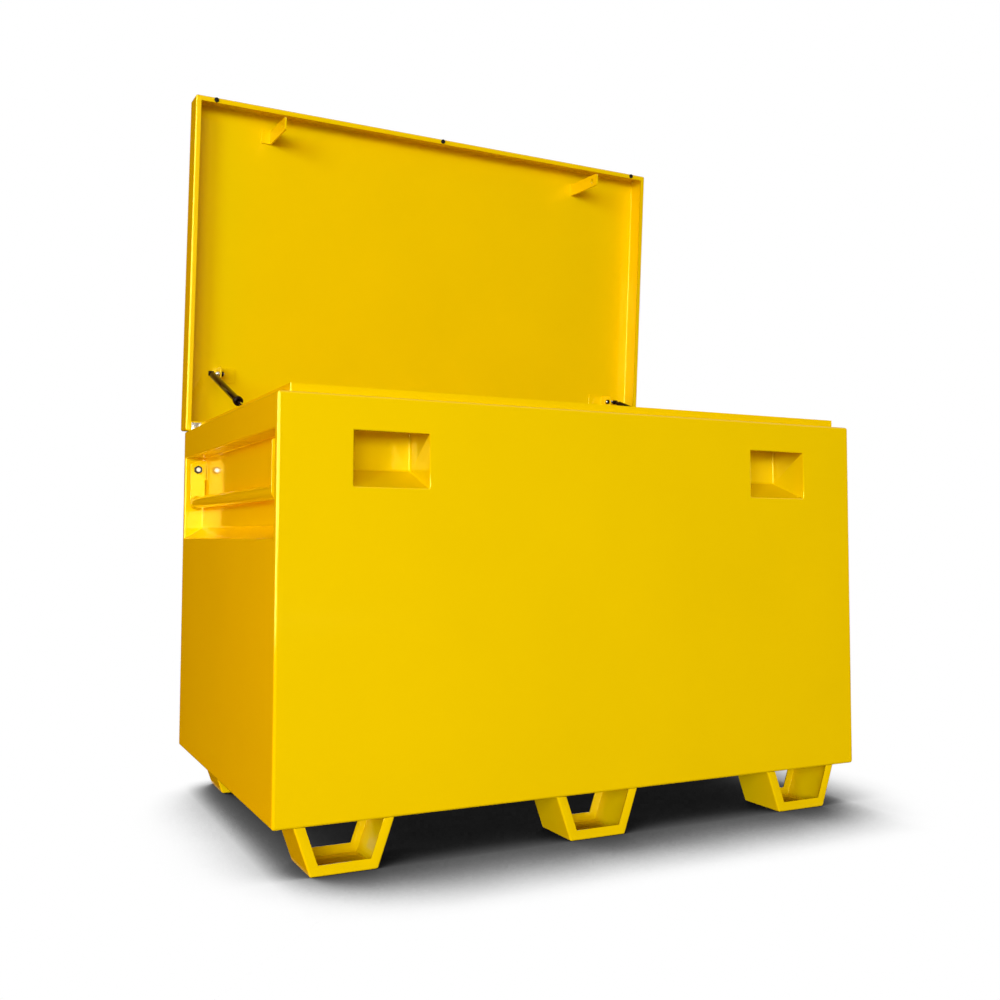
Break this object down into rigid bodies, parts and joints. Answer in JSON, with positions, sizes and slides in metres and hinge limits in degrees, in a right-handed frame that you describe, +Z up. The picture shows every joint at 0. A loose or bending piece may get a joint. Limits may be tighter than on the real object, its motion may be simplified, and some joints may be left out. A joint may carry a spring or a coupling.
{
  "type": "jobsite storage box",
  "caption": "Jobsite storage box of folded yellow steel with a hinged lid on gas struts, recessed padlock pockets, drop handles in the ends and channel feet.",
  "frame": {"origin": "on the ground, at the middle of the footprint of the box with its lid standing open", "axes": "+X towards the right-hand end as seen from the front, +Y towards the hinge side, +Z up; the lock pockets face -Y"},
  "size_m": [1.45, 0.974, 1.8201],
  "materials": {
    "yellow_paint": "glossy yellow powder coat",
    "zinc_plate": "bright zinc plate",
    "black_steel": "satin black",
    "black_rubber": "matte",
    "polished_rod": "polished"
  },
  "bodies": {
    "body": {"floor_panel": "yellow_paint", "front_left_foot": "yellow_paint", "front_middle_foot": "yellow_paint", "front_panel": "yellow_paint", "front_right_foot": "yellow_paint", "hinge_body_leaf": "zinc_plate", "hinge_pin": "zinc_plate", "left_body_ball_stud": "zinc_plate", "left_body_strut_bracket": "yellow_paint", "left_front_handle_lug": "yellow_paint", "left_front_pivot_bolt": "zinc_plate", "left_front_pivot_nut": "zinc_plate", "left_lock_pocket": "yellow_paint", "left_panel": "yellow_paint", "left_rear_handle_lug": "yellow_paint", "left_rear_pivot_bolt": "zinc_plate", "left_rear_pivot_nut": "zinc_plate", "rear_left_foot": "yellow_paint", "rear_middle_foot": "yellow_paint", "rear_panel": "yellow_paint", "rear_right_foot": "yellow_paint", "right_body_ball_stud": "zinc_plate", "right_body_strut_bracket": "yellow_paint", "right_front_handle_lug": "yellow_paint", "right_front_pivot_bolt": "zinc_plate", "right_front_pivot_nut": "zinc_plate", "right_lock_pocket": "yellow_paint", "right_panel": "yellow_paint", "right_rear_handle_lug": "yellow_paint", "right_rear_pivot_bolt": "zinc_plate", "right_rear_pivot_nut": "zinc_plate", "top_rim": "yellow_paint"},
    "lid": {"hinge_lid_leaf": "zinc_plate", "left_lid_ball_stud": "zinc_plate", "left_lid_bumper": "black_rubber", "left_lid_strut_bracket": "yellow_paint", "left_lid_stud_nut": "black_steel", "left_lock_tab": "yellow_paint", "lid_pan": "yellow_paint", "middle_lid_bumper": "black_rubber", "right_lid_ball_stud": "zinc_plate", "right_lid_bumper": "black_rubber", "right_lid_strut_bracket": "yellow_paint", "right_lid_stud_nut": "black_steel", "right_lock_tab": "yellow_paint"},
    "left_handle": {"left_handle_bar": "yellow_paint", "left_handle_front_arm": "yellow_paint", "left_handle_rear_arm": "yellow_paint"},
    "left_strut_rod": {"left_strut_body_socket": "black_steel", "left_strut_rod": "polished_rod"},
    "left_strut_cylinder": {"left_strut_cylinder": "black_steel", "left_strut_lid_socket": "black_steel"},
    "right_handle": {"right_handle_bar": "yellow_paint", "right_handle_front_arm": "yellow_paint", "right_handle_rear_arm": "yellow_paint"},
    "right_strut_rod": {"right_strut_body_socket": "black_steel", "right_strut_rod": "polished_rod"},
    "right_strut_cylinder": {"right_strut_cylinder": "black_steel", "right_strut_lid_socket": "black_steel"}
  },
  "joints": [
    {"name": "lid_hinge", "type": "hinge", "parent": "body", "child": "lid", "pos_m": [0, 0.41424, 0.9193], "axis": [1, 0, 0], "range_deg": [0, 86.2]},
    {"name": "left_strut_pivot", "type": "hinge", "parent": "lid", "child": "left_strut_cylinder", "pos_m": [-0.654, 0.43015, 1.08111], "axis": [1, 0, 0], "range_deg": [-96, 0]},
    {"name": "left_strut_slide", "type": "slide", "parent": "left_strut_cylinder", "child": "left_strut_rod", "axis": [0, 0.9412, 0.3379], "range_m": [0, 0.21]},
    {"name": "left_handle_hinge", "type": "hinge", "parent": "body", "child": "left_handle", "pos_m": [-0.701, 0, 0.813], "axis": [0, 1, 0], "range_deg": [-3, 112]},
    {"name": "right_strut_pivot", "type": "hinge", "parent": "lid", "child": "right_strut_cylinder", "pos_m": [0.654, 0.43015, 1.08111], "axis": [1, 0, 0], "range_deg": [-96, 0]},
    {"name": "right_strut_slide", "type": "slide", "parent": "right_strut_cylinder", "child": "right_strut_rod", "axis": [0, 0.9412, 0.3379], "range_m": [0, 0.21]},
    {"name": "right_handle_hinge", "type": "hinge", "parent": "body", "child": "right_handle", "pos_m": [0.701, 0, 0.813], "axis": [0, -1, 0], "range_deg": [-3, 112]}
  ],
  "couplings": [
    {"joint": "left_strut_pivot", "follows": "lid_hinge", "ratio": -1.1105},
    {"joint": "left_strut_slide", "follows": "lid_hinge", "m_per_rad": 0.13692},
    {"joint": "right_strut_pivot", "follows": "lid_hinge", "ratio": -1.1105},
    {"joint": "right_strut_slide", "follows": "lid_hinge", "m_per_rad": 0.13692}
  ]
}
